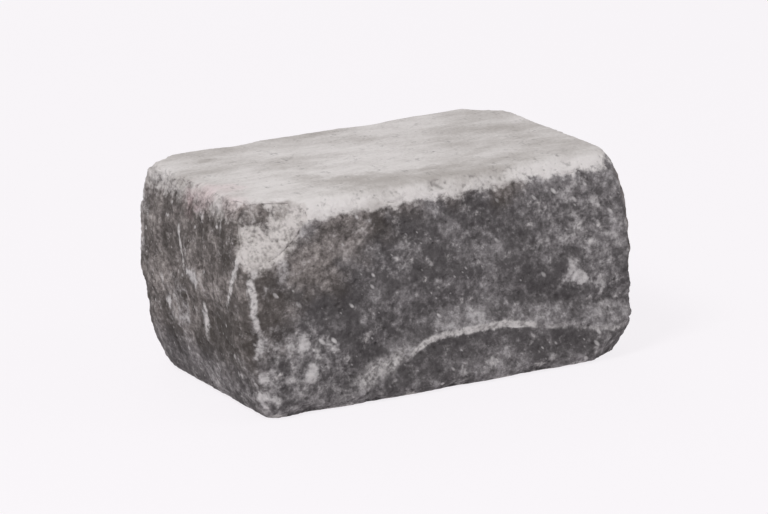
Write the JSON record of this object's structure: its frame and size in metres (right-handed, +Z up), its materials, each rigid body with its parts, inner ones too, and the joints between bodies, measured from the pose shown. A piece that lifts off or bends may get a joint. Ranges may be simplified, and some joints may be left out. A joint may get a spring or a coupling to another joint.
{
  "type": "tumbled concrete wall block",
  "caption": "Solid block for dry-laid garden walls, with flat beds, swollen riven ends and arrises and corners worn and chipped by tumbling.",
  "frame": {"origin": "centre of the bottom bed, on the level the block lies on", "axes": "+X along the wall, the block's length; +Y into the wall, so the face that shows looks along -Y; +Z up, from bed to bed"},
  "size_m": [0.3, 0.2, 0.15],
  "materials": {
    "concrete": "matte, rough-skinned, dark grey with pale lime bloom and specks"
  },
  "bodies": {
    "root": {"wall_block": "concrete"}
  },
  "joints": []
}
